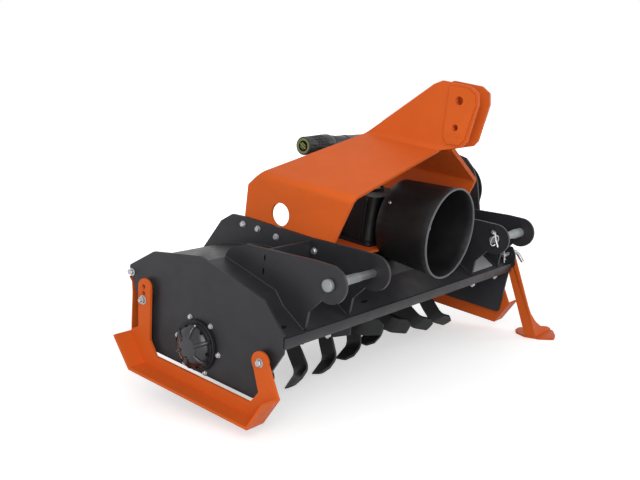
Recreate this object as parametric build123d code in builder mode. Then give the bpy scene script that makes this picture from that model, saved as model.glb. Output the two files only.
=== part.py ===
"""Rotary tiller for a three-point hitch, parked nose down on its tines and its front stand.

X runs across the machine, -Y is the tractor side, Z is up and the floor is Z = 0. Outlines are
drawn in the machine's own level axes, (u, v) = (rearward, up) from the rotor's axis, on planes
that tip the whole machine by PARK_TILT about that axis. Millimetres.
"""

from build123d import *
import os
from math import cos, hypot, radians, sin

# Driving dimensions
PARK_TILT = 9.2  # nose-down angle at which it rests
TIP_R = 200.0  # rotor axis to the tine tips
TINE_STEP = 12.5  # each set of tines trails the one before it by this angle
HALF_WIDTH = 635.0  # outer faces of the side plates
PLATE = 8.0  # side plates, skids and stand
SHEET = 5.0  # hood
RIB = 10.0  # hitch plates and mast
OUTER_RIB_X = HALF_WIDTH - 85  # outer face of the outer hitch plates
INNER_RIB_X = OUTER_RIB_X - 192  # outer face of the inner hitch plates

AXIS = (-38, 105, TIP_R)  # the origin is on the floor, mid-way through the whole
U_DIR = (0, cos(radians(PARK_TILT)), sin(radians(PARK_TILT)))
V_DIR = (0, -sin(radians(PARK_TILT)), cos(radians(PARK_TILT)))
SIDE = Plane(origin=AXIS, x_dir=U_DIR, z_dir=(1, 0, 0))  # local (u, v), extrudes towards +X
TOP = Plane(origin=AXIS, x_dir=(1, 0, 0), z_dir=V_DIR)  # local (x, u), extrudes upwards
FRONT = Plane(origin=AXIS, x_dir=(1, 0, 0), z_dir=tuple(-c for c in U_DIR))  # local (x, v), extrudes forwards
FLOOR = Plane((AXIS[0], AXIS[1], 0))
SIDES = (("left", -1), ("right", 1))

# Hitch, mast and drive line, (u, v)
LOWER_PIN = (-350, 260)
LOWER_PIN_R = 11.1
TOP_HOLE = (-350, LOWER_PIN[1] + 457)
QUICK_HOLE = (-350, LOWER_PIN[1] + 381)
DRIVE_V = 328.0
PTO_R = 17.45
SHIELD_R = 136.5
SHIELD_MOUTH_U = -367
BASE_V = 236.0  # underside of the mast's base plate, on the hood's ridge
TOP_HOLE_R = 12.7
QUICK_HOLE_R = 9.7
CASE_TOP_R = 112
CASE_LOW_R = 74
CANISTER = (100, 508)
MAST_BEND_V = 440.0
EAR_X = 38.0
SHOULDER_V = 574.0

# Hood, from the front bar over the top to the rear edge
HOOD = [(-296, 112), (-212, 160), (-180, 194), (8, 236), (85, 226), (200, 198), (292, 134)]
HOOD_X = HALF_WIDTH - PLATE

# Rotor
TUBE_R = 32.0
STUB_R = 17.5
FLANGE_R = 84.0
FLANGE_T = 8.0
FLANGES = 6
FLANGE_PITCH = 0.288 * HALF_WIDTH
TINES_PER_FLANGE = 6
LOWEST_TURN = 3.0  # the fourth set's left tine is this far past straight down
TINE_T = 8.0
TINE_REACH = 68.0  # how far a tine's foot goes sideways
TINE_W = 56.0

# Tailgate and stand
HINGE = (311, 118)
HINGE_ROD_R = 8.0
STAND_PIN = (-279, 150)
STAND_PIN_R = 7.5
STAND_X = HALF_WIDTH + 7.5

os.makedirs("parts", exist_ok=True)


def bent(points, thickness):
    """The closed outline of a bent sheet: its face line and, mitred, the line thickness to its left."""
    back = []
    for i, (x, y) in enumerate(points):
        before = points[max(i - 1, 0)]
        after = points[min(i + 1, len(points) - 1)]
        normals = []
        for (ax, ay), (bx, by) in ((before, (x, y)), ((x, y), after)):
            run = hypot(bx - ax, by - ay)
            if run:
                normals.append((-(by - ay) / run, (bx - ax) / run))
        nx = sum(n[0] for n in normals) / len(normals)
        ny = sum(n[1] for n in normals) / len(normals)
        scale = thickness / (nx * nx + ny * ny)
        back.append((x + nx * scale, y + ny * scale))
    return list(points) + back[::-1]


def hood_v(u):
    """Height of the hood's outer face at u."""
    for (a, va), (b, vb) in zip(HOOD, HOOD[1:]):
        if a <= u <= b:
            return va + (vb - va) * (u - a) / (b - a)
    raise ValueError(f"no hood at {u}")


def world(x, u, v):
    """A machine point in the row's frame."""
    return (AXIS[0] + x, AXIS[1] + u * U_DIR[1] + v * V_DIR[1], AXIS[2] + u * U_DIR[2] + v * V_DIR[2])


def save(piece, label):
    piece.part.label = label
    export_step(piece.part, f"parts/{label}.step")


# Hood, its tailgate lugs, and the bar across its front edge
LUG_X = (-560, 0, 560)
with BuildPart() as hood:
    with BuildSketch(SIDE.offset(-HOOD_X)):
        with BuildLine():
            Polyline(*bent(HOOD[::-1], SHEET), close=True)
        make_face()
    extrude(amount=2 * HOOD_X)
    for x in LUG_X:
        with BuildSketch(SIDE.offset(x - 5)):
            with BuildLine():
                Polyline((262, 146), (288, 131), (311, 132), (325, 118), (311, 104), (270, 120), close=True)
            make_face()
        extrude(amount=10)
    with Locations(Plane(origin=world(0, *HINGE), z_dir=(1, 0, 0))):
        Cylinder(HINGE_ROD_R, 3 * HALF_WIDTH, mode=Mode.SUBTRACT)
save(hood, "hood")

with BuildPart() as front_bar:
    with BuildSketch(SIDE.offset(-HALF_WIDTH)):
        with Locations((-299, 104)):
            Rectangle(6, 30)
    extrude(amount=2 * HALF_WIDTH)
save(front_bar, "front_bar")

# Side plates
BACK_EDGE = [(178, -76), (299, 145), (202, 211)]
TOWER = [
    (150, 221), (137, 294), (113, 380), (87, 427), (52, 458), (0, 467), (-52, 458), (-87, 427), (-113, 380),
    (-137, 294), (-158, 208),
]
FRONT_CORNER = [(-218, 195), (-291, 123), (-296, 75)]
LEFT_OUTLINE = BACK_EDGE + [(21, 247)] + FRONT_CORNER + [(-216, -76)]
RIGHT_OUTLINE = BACK_EDGE + TOWER + FRONT_CORNER + [(-286, -72)]
for name, s, outline in (("left", -1, LEFT_OUTLINE), ("right", 1, RIGHT_OUTLINE)):
    with BuildPart() as side_plate:
        with BuildSketch(SIDE.offset(s * HOOD_X)):
            with BuildLine():
                FilletPolyline(*outline, radius=9, close=True)
            make_face()
            Circle(40, mode=Mode.SUBTRACT)
        extrude(amount=s * PLATE)
    save(side_plate, f"side_plate_{name}")

# Four hitch plates standing on the hood, and a cross plate between each pair
NOSE_R = 50
FRONT_EDGE = [(-294, 309), (-352, 310), (-330, 213), (-294, 171), (-289, hood_v(-289))]
OUTER_RIB = [(8, 245), (-6, 266), (-62, 291), (-124, 295)] + FRONT_EDGE + HOOD[1:4]
REAR_FOOT = [(284, hood_v(284)), (284, 161)]
INNER_RIB = REAR_FOOT + [(218, 266), (176, 296), (123, 300), (-124, 300)] + FRONT_EDGE + HOOD[1:6]
for name, s in SIDES:
    for place, outer_x, rib in (("outer", OUTER_RIB_X, OUTER_RIB), ("inner", INNER_RIB_X, INNER_RIB)):
        with BuildPart() as hitch_plate:
            with BuildSketch(SIDE.offset(s * outer_x)):
                with BuildLine():
                    Polyline(*rib, close=True)
                make_face()
                with Locations(LOWER_PIN):
                    Circle(NOSE_R)
                    Circle(LOWER_PIN_R, mode=Mode.SUBTRACT)
            extrude(amount=-s * RIB)
        save(hitch_plate, f"hitch_plate_{place}_{name}")
    with BuildPart() as cross_plate:
        with BuildSketch(SIDE.offset(s * INNER_RIB_X)):
            with BuildLine():
                Polyline((-134, hood_v(-134)), (-128, hood_v(-128)), (-128, 294), (-134, 294), close=True)
            make_face()
        extrude(amount=s * (OUTER_RIB_X - RIB - INNER_RIB_X))
    save(cross_plate, f"cross_plate_{name}")
    with BuildPart() as lower_pin:
        with BuildSketch(SIDE.offset(s * (INNER_RIB_X - 28))):
            with Locations(LOWER_PIN):
                Circle(LOWER_PIN_R)
        extrude(amount=s * (OUTER_RIB_X - INNER_RIB_X + 28))
        with BuildSketch(SIDE.offset(s * OUTER_RIB_X)):
            with Locations(LOWER_PIN):
                Circle(15)
        extrude(amount=s * 9)
    save(lower_pin, f"lower_hitch_pin_{name}")

# Mast: two bent plates, leg to shoulder to ear, each the meeting of its front and side outlines
LEG_X = INNER_RIB_X - RIB
MAST_FRONT = [(LEG_X, BASE_V + PLATE), (LEG_X, MAST_BEND_V), (EAR_X, SHOULDER_V), (EAR_X, 780)]
MAST_MIDDLE = bent(MAST_FRONT, RIB / 2)[:len(MAST_FRONT) - 1:-1]
MAST_BEND_R = 24
MAST_SIDE = [
    (133, BASE_V), (133, 396), (84, 447), (-58, 581), (-258, 751), (-285, 765), (-375, 762), (-402, 746),
    (-408, 715), (-391, 607), (-378, 590), (-312, 569), (-250, 438), (-178, BASE_V),
]
DOUBLER = [
    (-313, 755), (-372, 755), (-397, 739), (-402, 715), (-385, 612), (-370, 594), (-330, 592), (-316, 612),
]
DOUBLER_T = 6
for name, s in SIDES:
    with BuildPart() as mast:
        with BuildSketch(FRONT.offset(-140)):
            with BuildLine():
                FilletPolyline(*[(s * x, v) for x, v in MAST_MIDDLE], radius=MAST_BEND_R)
            trace(line_width=RIB)
        extrude(amount=560)
        with BuildSketch(SIDE.offset(-LEG_X - 1)):
            with BuildLine():
                FilletPolyline(*MAST_SIDE, radius=6, close=True)
            make_face()
            with Locations((0, DRIVE_V + 7)):
                Circle(34, mode=Mode.SUBTRACT)
        extrude(amount=2 * LEG_X + 2, mode=Mode.INTERSECT)
    with BuildPart() as shoulder:
        add(mast.part)
        split(bisect_by=TOP.offset(SHOULDER_V), keep=Keep.BOTTOM)
    save(shoulder, f"mast_half_{name}")
    with BuildPart() as ear:
        add(mast.part)
        split(bisect_by=TOP.offset(SHOULDER_V), keep=Keep.TOP)
        with BuildSketch(SIDE.offset(s * EAR_X)):
            with BuildLine():
                FilletPolyline(*DOUBLER, radius=8, close=True)
            make_face()
        extrude(amount=s * DOUBLER_T)
        with BuildSketch(SIDE.offset(-EAR_X - DOUBLER_T)):
            with Locations(TOP_HOLE):
                Circle(TOP_HOLE_R)
            with Locations(QUICK_HOLE):
                Circle(QUICK_HOLE_R)
        extrude(amount=2 * (EAR_X + DOUBLER_T), mode=Mode.SUBTRACT)
    save(ear, f"mast_ear_{name}")

with BuildPart() as mast_tie:
    with BuildSketch(TOP.offset(SHOULDER_V + 2)):
        with Locations((0, -190)):
            Rectangle(2 * (EAR_X - RIB), 200)
    extrude(amount=RIB)
save(mast_tie, "mast_tie_plate")

with BuildPart() as base_plate:
    with BuildSketch(TOP.offset(BASE_V)):
        with Locations((0, -28)):
            Rectangle(2 * LEG_X, 312)
    extrude(amount=PLATE)
save(base_plate, "mast_base_plate")

# Gearbox block, input shaft and its shield
with BuildPart() as gearbox:
    with BuildSketch(TOP.offset(BASE_V + PLATE)):
        with Locations((0, -40)):
            RectangleRounded(210, 236, 14)
    extrude(amount=10)
    with BuildSketch(TOP.offset(BASE_V + PLATE)):
        with Locations((0, -40)):
            RectangleRounded(180, 220, 24)
    extrude(amount=150)
    with BuildSketch(FRONT.offset(100)):
        with Locations((0, DRIVE_V)):
            Circle(60)
    extrude(amount=85)
    with BuildSketch(SIDE):
        with Locations((0, DRIVE_V)):
            Circle(58)
    extrude(amount=110)
    with BuildSketch(FRONT.offset(175)):
        with Locations((0, DRIVE_V)):
            Circle(PTO_R + 0.3)
    extrude(amount=10, mode=Mode.SUBTRACT)
save(gearbox, "gearbox")

DRIVE_AXIS = Axis(world(0, 0, DRIVE_V), U_DIR)
SHIELD = [
    (-186, 50), (-186, 125), (SHIELD_MOUTH_U, SHIELD_R), (SHIELD_MOUTH_U, SHIELD_R - 4), (-190, 121),
    (-190, 50),
]
with BuildPart() as pto_shield:
    with BuildSketch(SIDE):
        with BuildLine():
            Polyline(*[(u, DRIVE_V + r) for u, r in SHIELD], close=True)
        make_face()
    revolve(axis=DRIVE_AXIS)
save(pto_shield, "pto_shield")

with BuildPart() as pto_shaft:
    with BuildSketch(FRONT.offset(176)):
        with Locations((0, DRIVE_V)):
            Circle(PTO_R)
    extrude(amount=40)
    with BuildSketch(FRONT.offset(216)):
        with Locations((0, DRIVE_V)):
            Circle(PTO_R)
            with PolarLocations(PTO_R, 6):
                Rectangle(6, 8.7, mode=Mode.SUBTRACT)
    extrude(amount=76)
save(pto_shaft, "pto_shaft")

# Side drive: cross tube and chain case
with BuildPart() as cross_tube:
    with BuildSketch(SIDE.offset(110)):
        with Locations((0, DRIVE_V)):
            Circle(24)
    extrude(amount=HOOD_X - 110)
    with BuildSketch(SIDE.offset(HOOD_X - 10)):
        with Locations((0, DRIVE_V)):
            Circle(60)
    extrude(amount=10)
save(cross_tube, "cross_drive_tube")

with BuildPart() as chain_case:
    for x, depth, inset in ((HALF_WIDTH, 6, 0), (HALF_WIDTH + 6, 44, 12)):
        with BuildSketch(SIDE.offset(x)):
            with Locations((0, DRIVE_V)):
                Circle(CASE_TOP_R - inset)
            Circle(CASE_LOW_R - inset)
            make_hull()
        extrude(amount=depth)
    with BuildSketch(SIDE.offset(HALF_WIDTH)):
        Circle(STUB_R + 0.3)
    extrude(amount=12, mode=Mode.SUBTRACT)
save(chain_case, "chain_case")

with BuildPart() as case_cover:
    with BuildSketch(SIDE.offset(HALF_WIDTH + 50)):
        with Locations((0, DRIVE_V)):
            Circle(CASE_TOP_R - 4)
        Circle(CASE_LOW_R - 4)
        make_hull()
    extrude(amount=6)
    with BuildSketch(SIDE.offset(HALF_WIDTH + 56)):
        with Locations((0, DRIVE_V)):
            Circle(42)
        Circle(44)
    extrude(amount=12)
save(case_cover, "chain_case_cover")

# Bearing at the rotor's other end
with BuildPart() as bearing:
    for start, depth, radius in ((HALF_WIDTH, 8, 72), (HALF_WIDTH + 8, 14, 62), (HALF_WIDTH + 22, 12, 40)):
        with BuildSketch(SIDE.offset(-start)):
            Circle(radius)
        extrude(amount=-depth)
    with BuildSketch(SIDE.offset(-HALF_WIDTH)):
        Circle(STUB_R + 0.3)
    extrude(amount=-12, mode=Mode.SUBTRACT)
save(bearing, "rotor_bearing")

# Skids: an upright web with two arms, a sole turned up at both ends, and the bosses that hold it off
SOLE = [(-314, -38), (-269, -121), (186, -121), (259, -42)]
WEB = SOLE + [
    (238, -24), (220, -14), (233, 107), (182, 107), (170, -40), (138, -78), (-221, -78), (-247, -42),
    (-212, 40), (-268, 40), (-306, -25),
]
FRONT_BOLT = (-240, 38)
REAR_HOLES = [(210, 108), (209, 89), (208, 70)]
for name, s in SIDES:
    web_x = s * (HALF_WIDTH + 12)
    with BuildPart() as skid:
        with BuildSketch(SIDE.offset(web_x)):
            with BuildLine():
                Polyline(*WEB, close=True)
            make_face()
            with Locations((-240, 40)):
                Circle(28)
            with Locations((207.5, 107)):
                Circle(25.5)
            with Locations(*REAR_HOLES[:2]):
                Circle(7, mode=Mode.SUBTRACT)
        extrude(amount=s * PLATE)
        with BuildSketch(SIDE.offset(web_x)):
            with BuildLine():
                Polyline(*bent(SOLE, PLATE), close=True)
            make_face()
        extrude(amount=s * (PLATE + 56))
        with BuildSketch(SIDE.offset(s * HALF_WIDTH)):
            with Locations(FRONT_BOLT, REAR_HOLES[2]):
                Circle(13)
        extrude(amount=s * 12)
    save(skid, f"skid_{name}")

# Rotor: a tube, and on each flange tines bent to the left and right by turns. A tine points up here:
# its edge view is the bent strip, its side view the outline swept back to a tip.
with BuildPart() as rotor_tube:
    with BuildSketch(SIDE.offset(-HOOD_X + 25)):
        Circle(TUBE_R)
    extrude(amount=2 * (HOOD_X - 25))
    with BuildSketch(SIDE.offset(-HALF_WIDTH - 10)):
        Circle(STUB_R)
    extrude(amount=2 * (HALF_WIDTH + 10))
save(rotor_tube, "rotor_tube")

TINE_X = (FLANGE_T + TINE_T) / 2
TINE_SIDE = [(-22, 44), (22, 44), (TINE_W / 2, 110), (TINE_W / 2, 210), (-TINE_W / 2, 210), (-TINE_W / 2, 110)]
TINE_END = TINE_X + TINE_REACH + 10
TINE_PLAN = [
    (0, -TINE_W / 2), (TINE_END, -TINE_W / 2), (TINE_END, -2), (TINE_END - 36, TINE_W / 2),
    (0, TINE_W / 2),
]
with BuildPart() as tine:
    with BuildSketch(Plane.XZ.offset(-60)):
        with BuildLine():
            FilletPolyline((TINE_X, 44), (TINE_X, 166), (TINE_X + TINE_REACH, 198), radius=30)
        trace(line_width=TINE_T)
    extrude(amount=120)
    with BuildSketch(Plane.YZ.offset(-10)):
        with BuildLine():
            FilletPolyline(*TINE_SIDE, radius=4, close=True)
        make_face()
    extrude(amount=120, mode=Mode.INTERSECT)
    with BuildSketch(Plane.XY):
        with BuildLine():
            Polyline(*TINE_PLAN, close=True)
        make_face()
    extrude(amount=TIP_R + 10, mode=Mode.INTERSECT)
    Cylinder(TIP_R, 400, rotation=(0, 90, 0), mode=Mode.INTERSECT)
for number in range(1, FLANGES + 1):
    x = FLANGE_PITCH * (number - (FLANGES + 1) / 2)
    turn = LOWEST_TURN + TINE_STEP * (4 - number)
    with BuildPart() as tine_set:
        with BuildSketch(SIDE.offset(x - FLANGE_T / 2)):
            Circle(FLANGE_R)
            Circle(TUBE_R, mode=Mode.SUBTRACT)
        extrude(amount=FLANGE_T)
        for k in range(TINES_PER_FLANGE):
            angle = 180 - turn + k * 360 / TINES_PER_FLANGE
            with Locations(Location((AXIS[0] + x, AXIS[1], AXIS[2]), (angle, 0, 0))):
                add(tine.part if k % 2 else mirror(tine.part, about=Plane.YZ, mode=Mode.PRIVATE))
    save(tine_set, f"tine_set_{number}")

# Tailgate: a bent sheet on rolled knuckles, and its rod
with BuildPart() as hinge_rod:
    with BuildSketch(SIDE.offset(-HOOD_X + 4)):
        with Locations(HINGE):
            Circle(HINGE_ROD_R)
    extrude(amount=2 * (HOOD_X - 4))
save(hinge_rod, "tailgate_rod")

GATE = [(311, 106), (297, 94), (291, 60), (286, -29), (281, -80), (262, -104)]
GATE_X = HALF_WIDTH - 15
with BuildPart() as tailgate:
    with BuildSketch(SIDE.offset(-GATE_X)):
        with BuildLine():
            Polyline(*bent(GATE, 4), close=True)
        make_face()
    extrude(amount=2 * GATE_X)
    for start, end in ((-540, -20), (20, 540)):
        with BuildSketch(SIDE.offset(start)):
            with Locations(HINGE):
                Circle(12.5)
                Circle(HINGE_ROD_R + 0.5, mode=Mode.SUBTRACT)
        extrude(amount=end - start)
    for x in LUG_X:
        with BuildSketch(SIDE.offset(x - 10)):
            with Locations(HINGE):
                Circle(24)
        extrude(amount=20, mode=Mode.SUBTRACT)
save(tailgate, "tailgate")

# Document tube behind the mast
with BuildPart() as canister:
    with BuildSketch(SIDE.offset(-112)):
        with Locations(CANISTER):
            Circle(26)
    extrude(amount=302)
save(canister, "document_tube")
with BuildPart() as canister_cap:
    with BuildSketch(SIDE.offset(-150)):
        with Locations(CANISTER):
            Circle(27.5)
    extrude(amount=38)
save(canister_cap, "document_tube_cap")
with BuildPart() as canister_bracket:
    with BuildSketch(SIDE.offset(-20)):
        with BuildLine():
            Polyline((44, 394), (64, 394), (130, 456), (130, 482), (70, 482), close=True)
        make_face()
        with Locations(CANISTER):
            Circle(26, mode=Mode.SUBTRACT)
    extrude(amount=40)
save(canister_bracket, "document_tube_bracket")

# Parking stand on the right side plate
BRACKET = [(-230, 88), (-290, 88), (-312, 112), (-308, 150), (-292, 178), (-230, 178)]
with BuildPart() as stand_bracket:
    with BuildSketch(SIDE.offset(HALF_WIDTH)):
        with BuildLine():
            FilletPolyline(*BRACKET, radius=8, close=True)
        make_face()
        with Locations(STAND_PIN):
            Circle(STAND_PIN_R, mode=Mode.SUBTRACT)
    extrude(amount=6)
save(stand_bracket, "stand_bracket")

HANDLE_X = HALF_WIDTH + 70
with BuildPart() as stand_pin:
    with BuildLine():
        pin_run = FilletPolyline(
            world(HALF_WIDTH - 12, *STAND_PIN), world(HANDLE_X, *STAND_PIN), world(HANDLE_X, -312, 117),
            radius=16,
        )
    with BuildSketch(Plane(origin=pin_run @ 0, z_dir=pin_run % 0)):
        Circle(STAND_PIN_R)
    sweep()
save(stand_pin, "stand_pin")

LEG_LEAN = 26.6  # the leg's slope in the machine's axes, forward of straight down
LEG_W = 41
LEG_DOWN = 330
LEG_UP = Vector(*U_DIR) * sin(radians(LEG_LEAN)) + Vector(*V_DIR) * cos(radians(LEG_LEAN))
LEG_FOOT = (
    STAND_PIN[0] - LEG_DOWN * sin(radians(LEG_LEAN)), STAND_PIN[1] - LEG_DOWN * cos(radians(LEG_LEAN)),
)
LEG_TOP = world(STAND_X + PLATE, *STAND_PIN)
LEG_FRONT = Plane(origin=LEG_TOP, x_dir=(1, 0, 0), z_dir=Vector(1, 0, 0).cross(LEG_UP))
FLARE = [
    (-PLATE, -205), (0, -205), (4, -232), (26, -266), (54, -287), (106, -300), (126, -311), (127, -LEG_DOWN),
    (-PLATE, -LEG_DOWN),
]
with BuildPart() as stand_leg:
    with BuildSketch(SIDE.offset(STAND_X)):
        with BuildLine():
            Line(STAND_PIN, LEG_FOOT)
        trace(line_width=LEG_W)
        with Locations(STAND_PIN):
            Circle(LEG_W / 2)
            Circle(STAND_PIN_R + 0.5, mode=Mode.SUBTRACT)
    extrude(amount=PLATE)
    with BuildSketch(LEG_FRONT.offset(LEG_W / 2 - 7)):
        with BuildLine():
            Polyline(*FLARE, close=True)
        make_face()
    extrude(amount=7)
    split(bisect_by=FLOOR.offset(PLATE), keep=Keep.TOP)
save(stand_leg, "stand_leg")

FOOT = [
    (0, -428), (0, -370), (30, -324), (56, -308), (90, -306), (132, -345), (146, -376), (142, -400),
    (122, -428), (64, -461), (25, -472),
]
with BuildPart() as stand_foot:
    with BuildSketch(FLOOR) as foot:
        with BuildLine():
            FilletPolyline(*[(STAND_X + x, y) for x, y in FOOT], radius=8, close=True)
        make_face()
    extrude(amount=PLATE)
save(stand_foot, "stand_foot")
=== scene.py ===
"""Looks of the rotary tiller: materials, fasteners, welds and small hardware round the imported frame.

Pieces are placed in the machine's own axes, at(x, rearward, up) in millimetres from the rotor's axis. The
machine stands nose down, so those axes lean by PARK_TILT to the world's.
"""

import bmesh
import bpy
from math import cos, hypot, pi, radians, sin, tau
from mathutils import Matrix, Vector


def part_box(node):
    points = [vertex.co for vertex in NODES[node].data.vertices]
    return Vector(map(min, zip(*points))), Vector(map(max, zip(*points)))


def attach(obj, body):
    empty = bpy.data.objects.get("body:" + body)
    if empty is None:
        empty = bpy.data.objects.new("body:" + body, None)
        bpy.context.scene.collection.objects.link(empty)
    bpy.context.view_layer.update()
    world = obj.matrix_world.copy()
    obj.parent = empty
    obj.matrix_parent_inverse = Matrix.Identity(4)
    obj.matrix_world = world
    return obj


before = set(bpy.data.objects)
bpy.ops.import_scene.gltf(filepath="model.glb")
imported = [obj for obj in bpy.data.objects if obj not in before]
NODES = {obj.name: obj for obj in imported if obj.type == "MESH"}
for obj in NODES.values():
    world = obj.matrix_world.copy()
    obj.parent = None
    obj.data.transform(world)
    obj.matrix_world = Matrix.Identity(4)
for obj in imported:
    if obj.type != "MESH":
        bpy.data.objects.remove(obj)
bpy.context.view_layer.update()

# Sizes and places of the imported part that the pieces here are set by, in millimetres
PARK_TILT = radians(9.2)
HALF = 635.0  # outer faces of the side plates
PLATE = 8.0  # thickness of the side plates
RIB = 10.0  # thickness of the hitch plates and of the mast's legs inside them
OUTER_RIB_X = HALF - 85  # outer faces of the outer hitch plates
INNER_RIB_X = OUTER_RIB_X - 192  # outer faces of the inner hitch plates
LEG_INSIDE_X = INNER_RIB_X - 2 * RIB  # inner faces of the mast's legs
CROSS_PLATE_U = -128  # rear faces of the cross plates
SKID_FACE_X = HALF + 20  # outer faces of the skids
CASE_FACE_X = HALF + 56  # outer face of the chain case's cover
DRIVE_V = 328.0  # height of the input shaft and of the cross tube
HOOD = [(-296, 112), (-212, 160), (-180, 194), (8, 236), (85, 226), (200, 198), (292, 134)]  # (u, v)
LOWER_PIN = (-350, 260)  # (u, v), as are the next two
STAND_PIN = (-279, 150)
CANISTER = (100, 508)  # the document tube's axis
FLANGES = 6
FLANGE_PITCH = 0.288 * HALF
TINES_PER_FLANGE = 6
TINE_STEP = 12.5  # degrees that each set of tines trails the one before it by
LOWEST_FLANGE, LOWEST_TURN = 4, 3  # this set's first tine is this many degrees past straight down

SIDES = (("left", -1), ("right", 1))
tube_low, tube_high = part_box("rotor_tube")
AXIS = (tube_low + tube_high) / 2
ACROSS = Vector((1, 0, 0))
REAR = Vector((0, cos(PARK_TILT), sin(PARK_TILT)))
UP = Vector((0, -sin(PARK_TILT), cos(PARK_TILT)))
WORLD_REAR = Vector((0, 1, 0))
WORLD_UP = Vector((0, 0, 1))


def at(x, u, v):
    """World point x across, u rearward and v up from the rotor's axis."""
    return AXIS + (ACROSS * x + REAR * u + UP * v) / 1000


def round_across(degrees):
    """Direction round an axis across the machine, from rearward to upward."""
    turn = radians(degrees)
    return REAR * cos(turn) + UP * sin(turn)


def round_drive(degrees):
    """Direction round the input shaft, from right to upward."""
    turn = radians(degrees)
    return ACROSS * cos(turn) + UP * sin(turn)


def circle(count):
    """Angles of count even steps round a full turn."""
    return [tau * k / count for k in range(count)]


# Materials

MOTTLE, SMUDGE, SCUFFING = 6, 25, 40  # noise scales of the colour, the roughness and the scuff marks
ROUGH_SPREAD = 0.07
GRAIN_DEPTH = 0.0004
SCUFF_STRETCH, SCUFF_FROM, SCUFF_TO, SCUFF_PALER = (1, 9, 1), 0.6, 0.72, 1.9
EDGE_FROM, EDGE_TO, EDGE_PALER = 0.52, 0.6, 1.7  # of the pointiness


def srgb(r, g, b):
    def linear(c):
        c /= 255
        return c / 12.92 if c < 0.04045 else ((c + 0.055) / 1.055) ** 2.4
    return (linear(r), linear(g), linear(b), 1)


def surface(name, colour, rough, grain, bump, blotch=0.06, edge=0.0, scuff=0.0, metal=0.0, specular=0.5):
    """A node material: mottled colour, uneven roughness, fine grain, and if asked scuffs and pale edges,
    which are partly wear and partly a painted highlight.
    """
    mat = bpy.data.materials.new(name)
    mat.use_nodes = True
    nodes, links = mat.node_tree.nodes, mat.node_tree.links
    shader = nodes["Principled BSDF"]
    shader.inputs["Metallic"].default_value = metal
    shader.inputs["Specular IOR Level"].default_value = specular
    place = nodes.new("ShaderNodeTexCoord")

    def noise(scale, detail=3.0, stretch=None):
        n = nodes.new("ShaderNodeTexNoise")
        n.inputs["Scale"].default_value = scale
        n.inputs["Detail"].default_value = detail
        source = place.outputs["Object"]
        if stretch:
            mapping = nodes.new("ShaderNodeMapping")
            mapping.inputs["Scale"].default_value = stretch
            links.new(source, mapping.inputs["Vector"])
            source = mapping.outputs["Vector"]
        links.new(source, n.inputs["Vector"])
        return n.outputs["Fac"]

    def spread(value, low, high, start=0.3, end=0.7):
        m = nodes.new("ShaderNodeMapRange")
        m.inputs["From Min"].default_value = start
        m.inputs["From Max"].default_value = end
        m.inputs["To Min"].default_value = low
        m.inputs["To Max"].default_value = high
        links.new(value, m.inputs["Value"])
        return m.outputs["Result"]

    def mix(factor, a, b):
        m = nodes.new("ShaderNodeMix")
        m.data_type = "RGBA"
        links.new(factor, m.inputs["Factor"])
        for socket, value in ((m.inputs[6], a), (m.inputs[7], b)):
            if isinstance(value, tuple):
                socket.default_value = value
            else:
                links.new(value, socket)
        return m.outputs[2]

    def shade(factor):
        return tuple(min(c * factor, 1) for c in colour[:3]) + (1,)

    tone = mix(spread(noise(MOTTLE), 0, 1), shade(1 - blotch), shade(1 + blotch))
    if scuff:
        marks = spread(noise(SCUFFING, 6, SCUFF_STRETCH), 0, scuff, SCUFF_FROM, SCUFF_TO)
        tone = mix(marks, tone, shade(SCUFF_PALER))
    # Paler edges by the pointiness: partly edge wear, partly a painted highlight along the edges
    if edge:
        shape = nodes.new("ShaderNodeNewGeometry")
        worn_and_highlit_edges = spread(shape.outputs["Pointiness"], 0, edge, EDGE_FROM, EDGE_TO)
        tone = mix(worn_and_highlit_edges, tone, shade(EDGE_PALER))
    links.new(tone, shader.inputs["Base Color"])
    links.new(spread(noise(SMUDGE), rough - ROUGH_SPREAD, rough + ROUGH_SPREAD), shader.inputs["Roughness"])
    relief = nodes.new("ShaderNodeBump")
    relief.inputs["Strength"].default_value = bump
    relief.inputs["Distance"].default_value = GRAIN_DEPTH
    links.new(noise(grain, 2), relief.inputs["Height"])
    links.new(relief.outputs["Normal"], shader.inputs["Normal"])
    return mat


def pale_rays(tree):
    """1 for the rays that should see the pale background: camera, glossy and transmission."""
    rays = tree.nodes.new("ShaderNodeLightPath")
    total = rays.outputs["Is Camera Ray"]
    for name in ("Is Glossy Ray", "Is Transmission Ray"):
        top = tree.nodes.new("ShaderNodeMath")
        top.operation = "MAXIMUM"
        tree.links.new(total, top.inputs[0])
        tree.links.new(rays.outputs[name], top.inputs[1])
        total = top.outputs["Value"]
    return total


# After the colour: roughness, grain scale, bump and, where it isn't the usual one, blotch
ORANGE = surface("orange_powder_coat", srgb(200, 89, 33), 0.46, 420, 0.05, 0.05, edge=0.08, scuff=0.03,
                 specular=0.1)
BLACK = surface("black_powder_coat", srgb(37, 37, 40), 0.44, 480, 0.09, 0.10, edge=0.4, scuff=0.06,
                specular=0.27)
# Black castings, painted darker than their own black as the shade they sit in
SHADED_CASTING = surface("black_casting_painted_shade", srgb(20, 20, 22), 0.5, 220, 0.3, edge=0.5, specular=0.25)
GLOSS = surface("bearing_gloss", srgb(30, 30, 34), 0.26, 260, 0.12, edge=0.5)
PLASTIC = surface("shield_plastic", srgb(18, 18, 19), 0.45, 380, 0.08, 0.2, scuff=0.25, specular=0.3)
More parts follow.
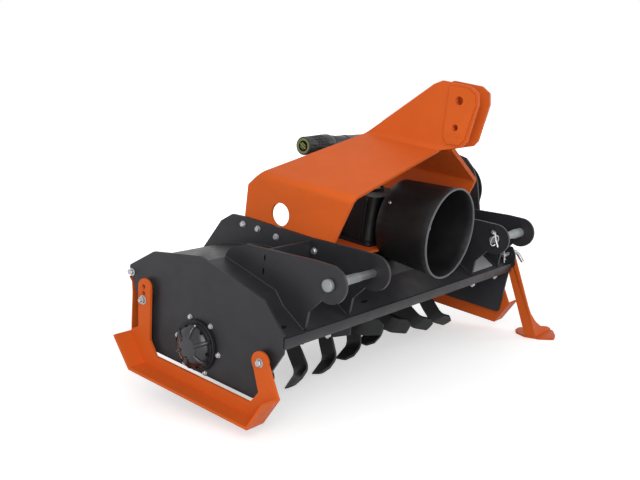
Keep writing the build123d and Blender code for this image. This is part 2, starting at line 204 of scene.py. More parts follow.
# The shield's cut edge is painted pale grey, a highlight along the rim
RIM_HIGHLIGHT = surface("shield_cut_edge_highlight", srgb(92, 93, 96), 0.5, 380, 0.08, 0.1, specular=0.3)
TUBE = surface("tube_plastic", srgb(40, 41, 44), 0.35, 300, 0.05, specular=0.35)
LIME = surface("cap_plastic", srgb(118, 120, 72), 0.45, 300, 0.06, 0.1, specular=0.3)
TINE = surface("tine_paint", srgb(26, 27, 28), 0.42, 260, 0.16, 0.16, edge=0.5, scuff=0.15, specular=0.25)
ZINC = surface("zinc_plate", srgb(172, 172, 174), 0.36, 900, 0.08, 0.12, metal=0.8)
DULL = surface("dull_zinc", srgb(138, 142, 144), 0.5, 700, 0.2, 0.3, edge=0.3, metal=0.35, specular=0.3)
BARE = surface("bare_plate", srgb(160, 161, 163), 0.4, 900, 0.03, metal=0.2)
# Near-black paint that stands for the shade inside pits, slots and recesses
PAINTED_SHADE = surface("painted_recess_shade", srgb(7, 7, 8), 0.8, 300, 0.05, specular=0.1)

FINISHES = (  # a node gets the first finish that lists the start of its name
    (ZINC, ("lower_hitch_pin", "stand_pin", "pto_shaft", "tailgate_rod")),
    (ORANGE, ("mast_", "skid", "tailgate", "stand_leg", "stand_foot")),
    (SHADED_CASTING, ("gearbox", "rotor_bearing")),
    (PLASTIC, ("pto_shield",)),
    (TINE, ("tine_set", "rotor_tube")),
    (TUBE, ("document_tube",)),
    (BLACK, ("",)),
)
JOIN_WITHIN = 0.00002  # metres, as is the next
EDGE_ROUNDING = 0.0013
ROUNDED_FROM = 38  # degrees between two faces
for name, obj in NODES.items():
    obj.data.materials.clear()
    obj.data.materials.append(next(finish for finish, starts in FINISHES if name.startswith(starts)))
    joined = obj.modifiers.new("join", "WELD")
    joined.merge_threshold = JOIN_WITHIN
    rounding = obj.modifiers.new("edges", "BEVEL")
    rounding.width = EDGE_ROUNDING
    rounding.segments = 2
    rounding.limit_method = "ANGLE"
    rounding.angle_limit = radians(ROUNDED_FROM)
    rounding.harden_normals = True


# Shapes

WELD_STEP, WELD_RIPPLE = 3.0, 0.13


class Shape:
    """Collects rings of points into one mesh. Lengths are in millimetres, and points in world metres."""

    def __init__(self):
        self.mesh = bmesh.new()

    def loft(self, rings, cap=True, closed=False):
        rows = [[self.mesh.verts.new(p) for p in ring] for ring in rings]
        pairs = list(zip(rows, rows[1:]))
        if closed:
            pairs.append((rows[-1], rows[0]))
        for low, high in pairs:
            for i in range(len(low)):
                j = (i + 1) % len(low)
                self.mesh.faces.new((low[i], low[j], high[j], high[i]))
        if cap and not closed:
            self.mesh.faces.new(rows[0][::-1])
            self.mesh.faces.new(rows[-1])

    def lathe(self, origin, axis, profile, sides, start=0.0, cap=True):
        """profile is (distance along the axis, radius); six sides, turned by start, make a hexagon."""
        axis = axis.normalized()
        side = UP if abs(axis.dot(ACROSS)) > 0.9 else axis.orthogonal().normalized()
        other = axis.cross(side)
        rings = []
        for along, radius in profile:
            middle = origin + axis * along / 1000
            rings.append([middle + (side * cos(start + turn) + other * sin(start + turn)) * radius / 1000
                          for turn in circle(sides)])
        self.loft(rings, cap)

    def prism(self, origin, x_dir, y_dir, outline, depth, soften=0.0):
        """outline on x_dir and y_dir, raised by depth along their cross product, its far edge softened."""
        out = x_dir.cross(y_dir).normalized()
        cx, cy = [sum(p[k] for p in outline) / len(outline) for k in (0, 1)]
        size = max(hypot(x - cx, y - cy) for x, y in outline)
        rings = []
        for height, shrink in ((0, 0), (depth - soften, 0), (depth, soften)):
            k = 1 - shrink / size
            rings.append([
                origin + (x_dir * (cx + (x - cx) * k) + y_dir * (cy + (y - cy) * k) + out * height) / 1000
                for x, y in outline])
        self.loft(rings)

    def sweep(self, points, radius, sides, closed=False, ripple=0.0):
        """A round bar through the points; ripple swells and thins it from ring to ring, as a weld bead is."""
        rings = []
        count = len(points)
        side = None
        for i, p in enumerate(points):
            ahead = points[(i + 1) % count] if closed or i < count - 1 else p
            behind = points[i - 1] if closed or i else p
            along = (ahead - behind).normalized()
            if side is None:
                side = along.orthogonal().normalized()
            side = (side - along * side.dot(along)).normalized()
            other = along.cross(side)
            r = radius / 1000 * (1 + ripple * sin(i * pi / 2))
            rings.append([p + (side * cos(turn) + other * sin(turn)) * r for turn in circle(sides)])
        self.loft(rings, closed=closed)

    def weld(self, points, radius):
        """A rippled bead along a line with straight runs."""
        self.sweep(stepped(points, WELD_STEP), radius, 8, ripple=WELD_RIPPLE)

    def make(self, name, body, slot, material, smooth=40, rounding=0.0):
        """Turn the shape into a piece; edges sharper than smooth degrees stay sharp."""
        bmesh.ops.recalc_face_normals(self.mesh, faces=self.mesh.faces)
        data = bpy.data.meshes.new(name)
        self.mesh.to_mesh(data)
        self.mesh.free()
        data.shade_smooth()
        data.set_sharp_from_angle(angle=radians(smooth))
        data.materials.append(material)
        obj = bpy.data.objects.new(name, data)
        bpy.context.collection.objects.link(obj)
        if rounding:
            soft = obj.modifiers.new("edges", "BEVEL")
            soft.width = rounding / 1000
            soft.segments = 2
            soft.limit_method = "ANGLE"
        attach(obj, body)


def curve(points, per=8):
    """Points of a smooth line through the given points (Catmull-Rom), per of them to each span."""
    ends = [points[0] * 2 - points[1]] + list(points) + [points[-1] * 2 - points[-2]]
    out = []
    for a, b, c, d in zip(ends, ends[1:], ends[2:], ends[3:]):
        for i in range(per):
            t = i / per
            out.append(((b * 2) + (c - a) * t + (a * 2 - b * 5 + c * 4 - d) * t * t
                        + (b * 3 - a - c * 3 + d) * t ** 3) / 2)
    return out + [points[-1]]


def stepped(points, step):
    """Points of a line with straight runs, about every step mm."""
    out = []
    for a, b in zip(points, points[1:]):
        count = max(1, round((b - a).length * 1000 / step))
        out += [a.lerp(b, i / count) for i in range(count)]
    return out + [points[-1]]


def belt_points(top, low, count, arc=60):
    """(u, v) at even steps round the belt line of two circles, each given as (v, radius)."""
    (v1, r1), (v2, r2) = top, low
    lean = (r1 - r2) / (v1 - v2)
    loop = []
    for k in range(arc + 1):
        turn = pi / 2 - (-1 + 2 * k / arc) * (pi / 2)
        loop.append((r1 * cos(turn), v1 + r1 * sin(turn)))
    loop.append((r2 * (1 - lean * lean) ** 0.5, v2 + r2 * lean))
    loop += [(r2 * cos(t), v2 + r2 * sin(t)) for t in [-pi * k / arc for k in range(arc + 1)]]
    loop.append(loop[0])
    lengths = [hypot(b[0] - a[0], b[1] - a[1]) for a, b in zip(loop, loop[1:])]
    total = sum(lengths)
    out, gone, i = [], 0.0, 0
    for k in range(count):
        want = total * k / count
        while gone + lengths[i] < want:
            gone += lengths[i]
            i += 1
        a, b = loop[i], loop[i + 1]
        t = (want - gone) / lengths[i]
        out.append((a[0] + (b[0] - a[0]) * t, a[1] + (b[1] - a[1]) * t))
    return out


# Profiles of fasteners, as (along the axis, radius) in shares of the thread's size
WASHER = ((0, 1.12), (0.16, 1.12), (0.2, 1.05))
HEAD = ((0.2, 0.92), (0.7, 0.92), (0.82, 0.7912))
NUT_WASHER = ((0, 1.12), (0.18, 1.12))
NUT = ((0.18, 0.855), (0.28, 0.95), (0.9, 0.95), (1, 0.836))
NUT_STUD = ((1, 0.48), (1.2, 0.48), (1.28, 0.4))
ROUND_SIDES, STUD_SIDES, HEX = 28, 16, 6


def scaled(profile, size):
    return [(along * size, radius * size) for along, radius in profile]


def bolt(shape, origin, axis, size, turn):
    """A hex bolt's washer and head; size is the thread, and turn sets the flats."""
    shape.lathe(origin, axis, scaled(WASHER, size), ROUND_SIDES)
    shape.lathe(origin, axis, scaled(HEAD, size), HEX, turn)


def nut(shape, origin, axis, size, turn):
    """A washer, a nut and the end of the bolt in it."""
    shape.lathe(origin, axis, scaled(NUT_WASHER, size), ROUND_SIDES)
    shape.lathe(origin, axis, scaled(NUT, size), HEX, turn)
    shape.lathe(origin, axis, scaled(NUT_STUD, size), STUD_SIDES)


# Rotor bearing on the left side plate: flange and the cap's pits painted dark as shade, domed cap with ribs,
# bolts round it, grease nipple
BEARING_FLANGE = [(0, 70), (1.6, 70), (3, 68), (3.4, 60)]  # (along the axis, radius), as in each profile
CAP_DOME = [(0, 63.6), (3, 63), (9, 60.5), (15, 56), (20.5, 49.5), (25, 41), (27.5, 33), (28.6, 25), (29, 12),
            (29, 3)]
CAP_BUTTON = [(0, 32), (1.4, 30), (2, 26), (2.2, 3)]
CAP_RIB = ((12, 60.5), (20, 58.5), (26.5, 53.5), (33, 45), (36.6, 34), (37.6, 26))  # (off the plate, radius)
CAP_RIBS, RIB_TURN = 6, 32  # the turn is to the first one, in degrees from rearward
PIT_TURN, PIT_R = 2, 58.8  # the bolts stand at the pits' turns
PIT = [(-3, 5.2), (1.4, 5.2), (1.8, 4.4), (1.2, 2)]
BEARING_BOLT_R = 79
NIPPLE = [(0, 4), (3, 4), (3.5, 2.6), (7, 2.4), (8, 3), (10, 1.6)]
flange = Shape()
flange.lathe(at(-HALF - 7.6, 0, 0), -ACROSS, BEARING_FLANGE, 96)
flange.make("bearing_flange", "frame", "implement_black", SHADED_CASTING, 30)
cap, pits, bolts = Shape(), Shape(), Shape()
cap.lathe(at(-HALF - 10, 0, 0), -ACROSS, CAP_DOME, 96)
for k in range(CAP_RIBS):
    spoke = round_across(RIB_TURN + 360 * k / CAP_RIBS)
    cap.sweep(curve([at(-HALF - off, 0, 0) + spoke * r / 1000 for off, r in CAP_RIB]), 6.2, 16)
    spoke = round_across(PIT_TURN + 360 * k / CAP_RIBS)
    pits.lathe(at(-HALF - 22, 0, 0) + spoke * PIT_R / 1000, spoke * 0.85 - ACROSS * 0.52, PIT, 20)
    bolt(bolts, at(-HALF, 0, 0) + spoke * BEARING_BOLT_R / 1000, -ACROSS, 7, k)
cap.lathe(at(-HALF - 38.6, 0, 0), -ACROSS, CAP_BUTTON, 48)
bolts.lathe(at(-HALF - 18, -6, 57), (-ACROSS + UP).normalized(), NIPPLE, 14)
cap.make("bearing_cap", "frame", "implement_black", GLOSS, 30)
pits.make("bearing_pits", "frame", "implement_black", PAINTED_SHADE)
bolts.make("bearing_bolts", "frame", "bright_pin", ZINC)

# Bolts of the skids, the mast's feet and the rear corners; heads, sleeves and linchpins of the lower pins
FRONT_SKID_BOLT, REAR_SKID_BOLT, CORNER_BOLT = (-240, 38), (208, 70), (283, 128)  # (u, v)
MAST_BOLTS = ((128, 276), (68, 276), (-4, 270), (-146, 266))
SKID_STUD = [(0, 5.8), (6, 5.8), (7, 5)]
CORNER_STUD = [(0, 11), (2, 11), (2.4, 10), (2.4, 7), (8, 7), (9, 6)]
PIN_HEAD = [(0, 13), (1, 13), (1, 15.4), (2, 16.4), (11, 16.4), (13, 15.4), (14, 13), (14.4, 4)]
PIN_SLEEVE = [(0, 14), (1, 15.4), (54, 15.4), (60, 13), (112, 12.2), (114, 11.2)]
LINCHPIN_X = LEG_INSIDE_X - 1
LINCHPIN = ((-351, 287), (-359, 263), (-371, 240))
LINCHPIN_TOP, LINCHPIN_HEAD = (-349.5, 290), [(0, 5), (1, 8), (9, 8.4), (11, 5)]
RING_U, RING_V = -356, 259
RING_BOW, RING_HALF_U, RING_HALF_V, RING_LEAN = 7, 9, 18, 4
for name, s in SIDES:
    outward = ACROSS * s
    fast = Shape()
    bolt(fast, at(s * SKID_FACE_X, *FRONT_SKID_BOLT), outward, 11, 0.4)
    bolt(fast, at(s * SKID_FACE_X, *REAR_SKID_BOLT), outward, 12, 0.9)
    fast.lathe(at(s * (SKID_FACE_X + 8), *REAR_SKID_BOLT), outward, SKID_STUD, 16)
    for u, v in MAST_BOLTS:
        bolt(fast, at(s * INNER_RIB_X, u, v), outward, 9, u)
        nut(fast, at(s * LEG_INSIDE_X, u, v), -outward, 9, u + 1)
    fast.lathe(at(s * (HALF + 0.2), *CORNER_BOLT), outward, CORNER_STUD, 24)
    fast.make(f"bolts_{name}", "frame", "bright_pin", ZINC)
    pins = Shape()
    pins.lathe(at(s * OUTER_RIB_X, *LOWER_PIN), outward, PIN_HEAD, 48)
    pins.make(f"pin_head_{name}", "frame", "bright_pin", DULL, rounding=0.8)
    sleeve = Shape()
    sleeve.lathe(at(s * (OUTER_RIB_X - RIB - 0.5), *LOWER_PIN), -outward, PIN_SLEEVE, 40)
    sleeve.make(f"pin_sleeve_{name}", "frame", "bright_pin", DULL, 50)
    linch = Shape()
    linch.sweep([at(s * LINCHPIN_X, u, v) for u, v in LINCHPIN], 4.6, 14)
    linch.lathe(at(s * LINCHPIN_X, *LINCHPIN_TOP), UP * -0.9 + REAR * 0.4, LINCHPIN_HEAD, 16)
    ring = [at(s * (LINCHPIN_X - 1 - RING_BOW * cos(t)),
               RING_U + RING_HALF_U * cos(t) - RING_LEAN * sin(t), RING_V + RING_HALF_V * sin(t))
            for t in circle(40)]
    linch.sweep(ring, 2.3, 8, closed=True)
    linch.make(f"linchpin_{name}", "frame", "bright_pin", ZINC)

# Welds: the hitch plates' feet on the hood, the cross plates' edges and tabs, the hood at the side plates
RIB_FEET = (  # a face of a hitch plate, and where on the hood's outline it ends
    (OUTER_RIB_X, 4), (OUTER_RIB_X - RIB, 4), (INNER_RIB_X, 6), (INNER_RIB_X - RIB, 6))
RIB_TOE = (-286, 119)
TAB = [(9 * cos(t), 2.4 * sin(t)) for t in circle(20)]
for name, s in SIDES:
    bead = Shape()
    for x, end in RIB_FEET:
        bead.weld([at(s * x, *RIB_TOE)] + [at(s * x, u, v + 1) for u, v in HOOD[1:end]], 3.2)
    bead.weld([at(s * x, CROSS_PLATE_U, 208) for x in (INNER_RIB_X + 10, OUTER_RIB_X - 20)], 3.0)
    for x in (INNER_RIB_X, OUTER_RIB_X - RIB):
        bead.weld([at(s * x, CROSS_PLATE_U + 1, v) for v in (214, 292)], 2.6)
    for x, face in ((OUTER_RIB_X, s), (LEG_INSIDE_X, -s)):
        for v in (272, 234):
            bead.prism(at(s * x, CROSS_PLATE_U - 3, v), UP * face, REAR, TAB, 0.8, 0.5)
    bead.weld([at(s * (HALF - PLATE - 1), u, v) for u, v in ((-290, 119), (-212, 163))], 2.4)
    bead.make(f"weld_{name}", "frame", "implement_black", BLACK, 60)

# Hood: four slots in its front slope, thin dark plates of painted shade, and a blank data plate with its
# rivets
SLOPE = (REAR * (HOOD[1][0] - HOOD[0][0]) + UP * (HOOD[1][1] - HOOD[0][1])).normalized()
SLOT_XS, SLOT_U, SLOT_V = (-608, -247, 247, 608), -263, 131.1
SLOT = [(12.5 * cos(t) + (3 if cos(t) > 0 else -3), 4.2 * sin(t)) for t in circle(20)]
DATA_X, DATA_U, DATA_V = 446, -257, 134.5
BLANK = [(-76, -24), (-73, -27), (73, -27), (76, -24), (76, 24), (73, 27), (-73, 27), (-76, 24)]
RIVET = [(1, 2.6), (1.8, 2.4), (2.4, 1.4)]
slots = Shape()
for x in SLOT_XS:
    slots.prism(at(x, SLOT_U, SLOT_V), ACROSS, SLOPE, SLOT, 1.0, 0.4)
slots.make("hood_slots", "frame", "implement_black", PAINTED_SHADE)
plate = Shape()
plate.prism(at(DATA_X, DATA_U, DATA_V), ACROSS, SLOPE, BLANK, 1.2, 0.3)
plate.make("data_plate", "frame", "bright_pin", BARE, rounding=0.3)
rivets = Shape()
for a in (-70, 70):
    for b in (-21, 21):
        spot = at(DATA_X + a, DATA_U, DATA_V) + SLOPE * b / 1000
        rivets.lathe(spot, ACROSS.cross(SLOPE), RIVET, 12)
rivets.make("data_plate_rivets", "frame", "bright_pin", ZINC)

# Shield: its cut edge, painted pale as a highlight, the lap of its sheet and its fixing screws
LAP_TURN = 171  # degrees round the shaft, as are the screws' turns
LAP_LINE = ((186, 124.6), (212, 126.6), (262, 128.9), (330, 132.6))  # (forward, from the axis)
SCREW_TURNS, SCREW_U, SCREW_R = (147, 27, -93), -212, 126.2
SCREW = [(0, 4.8), (1.2, 4.8), (2.4, 3.8), (3, 2)]
RIM_RING = [(366, 133.6), (367, 137.6), (370, 137.6), (371, 136.4), (371, 133.4), (370, 132.4), (367, 132.6)]
rim = Shape()
rim.lathe(at(0, 0, DRIVE_V), -REAR, RIM_RING + RIM_RING[:1], 112, cap=False)
rim.make("shield_rim", "frame", "shield_plastic", RIM_HIGHLIGHT)
lap = Shape()
lap_line = [at(0, 0, DRIVE_V) + round_drive(LAP_TURN) * r / 1000 - REAR * d / 1000 for d, r in LAP_LINE]
lap.sweep(stepped(lap_line, 6.0), 0.9, 6)
lap.make("shield_lap", "frame", "shield_plastic", PLASTIC)
screws = Shape()
for degrees in SCREW_TURNS:
    out = round_drive(degrees)
    screws.lathe(at(0, SCREW_U, DRIVE_V) + out * SCREW_R / 1000, out, SCREW, 18)
screws.make("shield_screws", "frame", "bright_pin", ZINC)

# Document tube: collar with grip ribs and end ring, pale end face with grip bars and its recess in painted
# shade, two straps
COLLAR = [(0, 27), (3, 29), (18, 29.6), (22, 31.6), (30, 32.4), (52, 32.4), (60, 31), (70, 27.4), (72, 26.3)]
GRIP_RIBS = 20
GRIP_RIB = ((-144, 27.2), (-112, 28.2), (-86, 29.6), (-68, 30.4))  # (x, from the axis)
END_RING = [(2, 19.6), (-1.4, 20), (-1.8, 21), (-1.6, 26.6), (0.4, 28.4), (4, 28.8), (7, 27.6)]
END_FACE = [(0, 23.4), (3.0, 23.4), (3.4, 22.8), (3.4, 20.6), (2.4, 20), (2.4, 1)]
END_RECESS = [(0, 17), (1.4, 17), (1.4, 3)]
GRIP_BARS = ((6.4, 9, 1.6), (0, 13, 2.6), (-6.8, 8, 1.4))  # (up, half length, half width)
BAR_DIR, BAR_UP = REAR * 0.86 + UP * 0.51, UP * 0.86 - REAR * 0.51
STRAP_XS, STRAP = (-4, 62), [(-4, 26.1), (-3.4, 27.3), (3.4, 27.3), (4, 26.1)]
TUBE_END_X, COLLAR_X = -150, -86
collar = Shape()
collar.lathe(at(COLLAR_X, *CANISTER), ACROSS, COLLAR, 48)
for k in range(GRIP_RIBS):
    out = round_across(360 * k / GRIP_RIBS)
    collar.sweep([at(x, *CANISTER) + out * (r / 1000) for x, r in GRIP_RIB], 1.2, 6)
collar.lathe(at(TUBE_END_X, *CANISTER), ACROSS, END_RING, 48, cap=False)
collar.make("tube_collar", "frame", "tube_plastic", TUBE)
face, recess, grip, strap = Shape(), Shape(), Shape(), Shape()
face.lathe(at(TUBE_END_X + 1, *CANISTER), -ACROSS, END_FACE, 48)
face.make("tube_end_face", "frame", "tube_plastic", LIME)
recess.lathe(at(TUBE_END_X - 0.4, *CANISTER), -ACROSS, END_RECESS, 40)
recess.make("tube_end_recess", "frame", "tube_plastic", PAINTED_SHADE)
for up, wide, half in GRIP_BARS:
    outline = [(wide, up - half), (wide, up + half), (-wide, up + half), (-wide, up - half)]
    grip.prism(at(TUBE_END_X - 1.6, *CANISTER), BAR_DIR, BAR_UP, outline, -1.4, 0.4)
grip.make("tube_end_grip", "frame", "tube_plastic", LIME, rounding=0.3)
for x in STRAP_XS:
    strap.lathe(at(x, *CANISTER), ACROSS, STRAP, 48, cap=False)
strap.make("tube_strap", "frame", "tube_plastic", TUBE)

# Stand: the clip and the end of its pin inside the plate, washer and collar outside it, its bracket's bolts
CLIP_LEG = ((-276, 163), (-279, 152), (-282, 138), (-285, 122))  # (u, v)
CLIP_BOW = ((-268, 158), (-272, 150), (-281, 140), (-288, 132))
PIN_END = [(0, 5.6), (2, 7.4), (28, 7.4)]
PIN_WASHER = [(0, 7.6), (0, 15), (2.4, 15), (2.4, 7.6)]
PIN_COLLAR = [(0, 7.6), (0, 11.4), (1, 12), (11, 12), (12, 11.4), (12, 7.6)]
BRACKET_BOLTS = ((-248, 106), (-248, 160))
PIN_END_X, CLIP_X = HALF - 40, HALF - 32
PIN_WASHER_X, PIN_COLLAR_X = HALF + 16.2, HALF + 21
clip = Shape()
clip.sweep([at(CLIP_X, u, v) for u, v in CLIP_LEG], 2.2, 8)
clip.sweep(curve([at(CLIP_X + 2, *CLIP_LEG[0])] + [at(CLIP_X + 3, u, v) for u, v in CLIP_BOW]), 1.9, 8)
clip.lathe(at(PIN_END_X, STAND_PIN[0], STAND_PIN[1] - 3), ACROSS, PIN_END, 24)
clip.make("stand_clip", "frame", "bright_pin", ZINC)
collars = Shape()
collars.lathe(at(PIN_WASHER_X, *STAND_PIN), ACROSS, PIN_WASHER, 32)
collars.lathe(at(PIN_COLLAR_X, *STAND_PIN), ACROSS, PIN_COLLAR, 32)
for u, v in BRACKET_BOLTS:
    bolt(collars, at(HALF + 6, u, v), ACROSS, 8, u)
collars.make("stand_collars", "frame", "bright_pin", ZINC)

# Nuts on studs under the front bar
STUD_XS, STUD_U, STUD_V = (-440, 374, 540), -286, 92
STUD = [(0, 5), (19, 5), (20, 4.2)]
STUD_WASHER = [(0, 12), (2, 12)]
STUD_NUT = [(0, 8.4), (1, 9.6), (10, 9.6), (11.4, 8)]
studs = Shape()
for x in STUD_XS:
    studs.lathe(at(x, STUD_U, STUD_V), -UP, STUD, 14)
    studs.lathe(at(x, STUD_U, STUD_V - 2), -UP, STUD_WASHER, 24)
    studs.lathe(at(x, STUD_U, STUD_V - 4), -UP, STUD_NUT, HEX, x)
studs.make("front_bar_nuts", "frame", "bright_pin", ZINC)

# Gearbox: flanges of the snout and the side boss, upright ribs and fins, the lid; bolts and the filler plug
BOX_FRONT_U, BOX_SIDE_X, BOX_FOOT_V, BOX_TOP_V = -160, 90, 262, 394
SNOUT_FLANGE = [(0, 78), (2, 80), (10, 80), (12, 78), (12, 62), (20, 58), (24.5, 52)]
BOSS_FLANGE = [(-4, 70), (-2, 72), (8, 72), (10, 70), (12, 60), (20.3, 58.4)]
LEFT_RIB = ((-89, BOX_FOOT_V), (-92.5, 270), (-92.5, 370), (-86, 392))  # (x, v)
RIGHT_RIB = ((89, BOX_FOOT_V), (92.5, 270), (92.5, 300))
REAR_RIB = ((70, BOX_FOOT_V), (73, 270), (73, 370), (66, 393))  # (u, v)
SIDE_RIB_US, REAR_RIB_XS = (-120, -40, 40), (-50, 0, 50)
LID_X, LID_U, LID = 20, -40, [(-1, 52), (0, 54), (6, 54), (8, 52), (8, 20), (9, 20)]
FIN, SIDE_FIN_US, FRONT_FIN_XS = [(0, -3), (118, -3), (118, 3), (0, 3)], (-116, -20), (-66, 62)
FOOT_BOLTS = (  # (x, u)
    (-95, -148), (95, -148), (-95, -40), (95, -40), (-95, 68), (95, 68), (-30, 68), (30, 68))
SNOUT_SCREW_R, SNOUT_SCREW = 70, [(0, 6.4), (5, 6.4), (6, 5.4)]
BOSS_SCREW_R, BOSS_SCREW = 65, [(-2, 6), (5, 6), (6, 5)]
LID_SCREW_R, LID_SCREW = 46, [(0, 6), (4, 6), (5, 5)]
FILLER = [(0, 11), (6, 11), (7, 10), (7, 6), (16, 6), (17, 9), (22, 9), (24, 6)]
# The gearbox's flanges, ribs, fins, lid, bolts and plug take the casting paint, darkened as painted shade
casing = Shape()
casing.lathe(at(0, BOX_FRONT_U, DRIVE_V), -REAR, SNOUT_FLANGE, 56)
casing.lathe(at(BOX_SIDE_X, 0, DRIVE_V), ACROSS, BOSS_FLANGE, 56)
for u in SIDE_RIB_US:
    casing.sweep([at(x, u, v) for x, v in LEFT_RIB], 4.2, 8)
    casing.sweep([at(x, u, v) for x, v in RIGHT_RIB], 4.2, 8)
for x in REAR_RIB_XS:
    casing.sweep([at(x, u, v) for u, v in REAR_RIB], 4.2, 8)
casing.lathe(at(LID_X, LID_U, BOX_TOP_V), UP, LID, 40)
for u in SIDE_FIN_US:
    casing.prism(at(-BOX_SIDE_X - 2, u, BOX_FOOT_V), UP, REAR, FIN, 9, 0.6)
for x in FRONT_FIN_XS:
    casing.prism(at(x, BOX_FRONT_U, BOX_FOOT_V), UP, ACROSS, FIN, -9, -0.6)
casing.make("gearbox_flanges", "frame", "implement_black", SHADED_CASTING)
screws = Shape()
for x, u in FOOT_BOLTS:
    bolt(screws, at(x, u, BOX_FOOT_V - 8), UP, 8, x)
for t in circle(6):
    c, d = cos(t + 0.3), sin(t + 0.3)
    spot = at(SNOUT_SCREW_R * c, BOX_FRONT_U - 12, DRIVE_V + SNOUT_SCREW_R * d)
    screws.lathe(spot, -REAR, SNOUT_SCREW, HEX)
    spot = at(BOX_SIDE_X + 10, BOSS_SCREW_R * c, DRIVE_V + BOSS_SCREW_R * d)
    screws.lathe(spot, ACROSS, BOSS_SCREW, HEX)
for t in circle(4):
    spot = at(LID_X + LID_SCREW_R * cos(t + 0.6), LID_U + LID_SCREW_R * sin(t + 0.6), BOX_TOP_V + 8)
    screws.lathe(spot, UP, LID_SCREW, HEX)
screws.lathe(at(LID_X, LID_U, BOX_TOP_V + 8), UP, FILLER, 20)
screws.make("gearbox_bolts", "frame", "bright_pin", SHADED_CASTING)

# Chain case: bolts round the cover, filler and drain plugs, hub covers and a weld round it on the side plate
BOLT_BELT = (DRIVE_V, 98), (0, 60)  # (v, radius) of the circles at the two ends
WELD_BELT = (DRIVE_V, 101), (0, 63)
FILLER_AT, FILLER_PLUG = (-46, 214), [(0, 12), (2, 12), (2, 9.5), (9, 9.5), (10, 8.4)]
DRAIN_AT, DRAIN_PLUG = (30, -38), [(0, 10), (2, 10), (2, 8), (8, 8), (9, 7)]
TOP_HUB = [(-1, 41), (1, 39), (3, 30), (4, 14), (4, 3)]
LOW_HUB = [(-1, 43), (1, 41), (3, 30), (4, 14), (4, 3)]
case = Shape()
for u, v in belt_points(*BOLT_BELT, 16):
    bolt(case, at(CASE_FACE_X, u, v), ACROSS, 7, u)
case.lathe(at(CASE_FACE_X, *FILLER_AT), ACROSS, FILLER_PLUG, HEX, 0.2)
case.lathe(at(CASE_FACE_X, *DRAIN_AT), ACROSS, DRAIN_PLUG, HEX, 0.5)
case.make("chain_case_bolts", "frame", "bright_pin", ZINC)
trim = Shape()
trim.lathe(at(CASE_FACE_X + 12, 0, DRIVE_V), ACROSS, TOP_HUB, 40)
trim.lathe(at(CASE_FACE_X + 12, 0, 0), ACROSS, LOW_HUB, 40)
trim.sweep([at(HALF + 6.5, u, v) for u, v in belt_points(*WELD_BELT, 320)], 3, 8, closed=True, ripple=0.12)
trim.make("chain_case_trim", "frame", "implement_black", BLACK, 50)

# Tines: the two bolts that hold each one to its flange, with their nuts, and the welds of the flanges
TINE_BOLT_RS = (56, 74)
TINE_BOLT = [(0, 8.6), (1, 8.6), (1, 7.6), (6.4, 7.6), (7.4, 6.6)]
TINE_NUT = [(0, 8.6), (1, 8.6), (1, 7.6), (7, 7.6), (8, 6.6)]
FOOT_FACE, FLANGE_FACE = 12, 4  # outer faces of a tine's foot and of the flange, from the flange's middle
FLANGE_WELD_X, FLANGE_WELD_R = 4.6, 33
for n in range(1, FLANGES + 1):
    x = FLANGE_PITCH * (n - (FLANGES + 1) / 2)
    first = 180 - (LOWEST_TURN + TINE_STEP * (LOWEST_FLANGE - n))  # degrees from upward to the first tine
    hardware, bead = Shape(), Shape()
    for k in range(TINES_PER_FLANGE):
        angle = radians(first + 360 * k / TINES_PER_FLANGE)
        radial = WORLD_UP * cos(angle) - WORLD_REAR * sin(angle)
        s = 1 if k % 2 else -1
        for r in TINE_BOLT_RS:
            foot = AXIS + (ACROSS * (x + s * FOOT_FACE) + radial * r) / 1000
            hardware.lathe(foot, ACROSS * s, TINE_BOLT, HEX, k)
            back = AXIS + (ACROSS * (x - s * FLANGE_FACE) + radial * r) / 1000
            hardware.lathe(back, -ACROSS * s, TINE_NUT, HEX, k)
    hardware.make(f"tine_bolts_{n}", "rotor", "tine_steel", TINE)
    for s in (-1, 1):
        ring = [at(x + s * FLANGE_WELD_X, FLANGE_WELD_R * sin(t), FLANGE_WELD_R * cos(t)) for t in circle(72)]
        bead.sweep(ring, 2.6, 8, closed=True, ripple=0.14)
    bead.make(f"flange_weld_{n}", "rotor", "tine_steel", TINE, 60)

# Floor and world: pale to the camera and in gloss, while the floor keeps the shadow
FLOOR_GREY = 0.8
GLOW_NEAR, GLOW_FAR = 0.5, 1.0  # the floor's own light under the machine, and away from it
GLOW_FROM, GLOW_TO = 0.9, 3.0  # metres from the middle
FLOOR_HALF = 30
floor_paint = bpy.data.materials.new("floor")
floor_paint.use_nodes = True
nodes, links = floor_paint.node_tree.nodes, floor_paint.node_tree.links
shader = nodes["Principled BSDF"]
shader.inputs["Base Color"].default_value = (FLOOR_GREY, FLOOR_GREY, FLOOR_GREY, 1)
shader.inputs["Roughness"].default_value = 0.9
shader.inputs["Specular IOR Level"].default_value = 0.0
shader.inputs["Emission Color"].default_value = (1, 1, 1, 1)
away = nodes.new("ShaderNodeVectorMath")
away.operation = "LENGTH"
links.new(nodes.new("ShaderNodeTexCoord").outputs["Object"], away.inputs[0])
glow = nodes.new("ShaderNodeMapRange")
glow.inputs["From Min"].default_value = GLOW_FROM
glow.inputs["From Max"].default_value = GLOW_TO
glow.inputs["To Min"].default_value = GLOW_NEAR
glow.inputs["To Max"].default_value = GLOW_FAR
links.new(away.outputs["Value"], glow.inputs["Value"])
amount = nodes.new("ShaderNodeMath")
amount.operation = "MULTIPLY"
links.new(pale_rays(floor_paint.node_tree), amount.inputs[0])
links.new(glow.outputs["Result"], amount.inputs[1])
links.new(amount.outputs["Value"], shader.inputs["Emission Strength"])
floor_data = bpy.data.meshes.new("floor")
corners = [(x * FLOOR_HALF, y * FLOOR_HALF, 0) for x, y in ((-1, -1), (1, -1), (1, 1), (-1, 1))]
floor_data.from_pydata(corners, [], [(0, 1, 2, 3)])
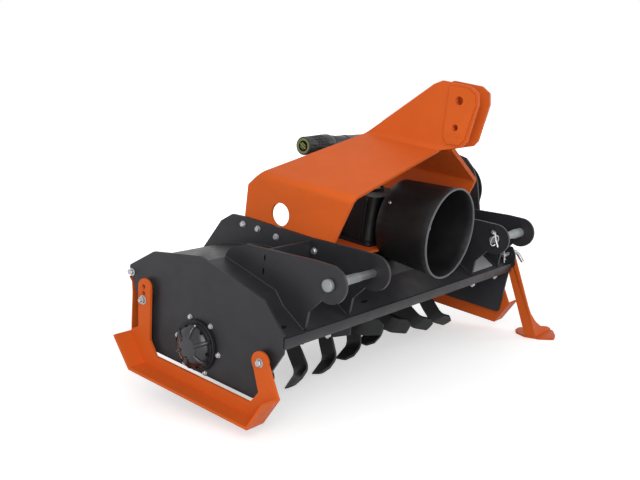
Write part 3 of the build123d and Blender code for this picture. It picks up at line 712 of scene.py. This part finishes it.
floor_data.materials.append(floor_paint)
floor = bpy.data.objects.new("floor", floor_data)
bpy.context.collection.objects.link(floor)

WORLD_LIGHT, WORLD_SEEN = 0.52, 1.0  # strength on the object, and to the eye
world = bpy.data.worlds.new("studio")
bpy.context.scene.world = world
world.use_nodes = True
nodes, links = world.node_tree.nodes, world.node_tree.links
back = nodes["Background"]
back.inputs["Color"].default_value = (1, 1, 1, 1)
seen = nodes.new("ShaderNodeMapRange")
seen.inputs["To Min"].default_value = WORLD_LIGHT
seen.inputs["To Max"].default_value = WORLD_SEEN
links.new(pale_rays(world.node_tree), seen.inputs["Value"])
links.new(seen.outputs["Result"], back.inputs["Strength"])

# Lamps and camera
LAMPS = (  # name, place, side in metres, watts
    ("key", (-3.0, -2.2, 1.7), 2.6, 96),
    ("top", (0.3, 0.4, 3.6), 3.0, 10),
    ("fill", (3.0, -2.8, 1.4), 2.0, 22),
)
LAMP_AIM = Vector((0, 0, 0.35))
for name, spot, size, power in LAMPS:
    data = bpy.data.lights.new(name, "AREA")
    data.shape = "SQUARE"
    data.size = size
    data.energy = power
    lamp = bpy.data.objects.new(name, data)
    lamp.location = spot
    lamp.rotation_euler = (LAMP_AIM - Vector(spot)).to_track_quat("-Z", "Y").to_euler()
    bpy.context.collection.objects.link(lamp)

CAMERA_AT = (-2226, -1537, 909)  # in the machine's axes, as are the three directions
CAMERA_RIGHT = (0.614, -0.780, 0.122)
CAMERA_UP = (0.1274, 0.2506, 0.9596)
CAMERA_BACK = (-0.779, -0.574, 0.253)
LENS, SENSOR = 48.64, 36  # millimetres
camera = bpy.data.objects.new("camera", bpy.data.cameras.new("camera"))
camera.data.lens = LENS
camera.data.sensor_width = SENSOR
turned = [ACROSS * a + REAR * b + UP * c for a, b, c in (CAMERA_RIGHT, CAMERA_UP, CAMERA_BACK)]
camera.matrix_world = Matrix.Translation(at(*CAMERA_AT)) @ Matrix(turned).transposed().normalized().to_4x4()
bpy.context.collection.objects.link(camera)
bpy.context.scene.camera = camera
bpy.context.scene.view_settings.view_transform = "Standard"
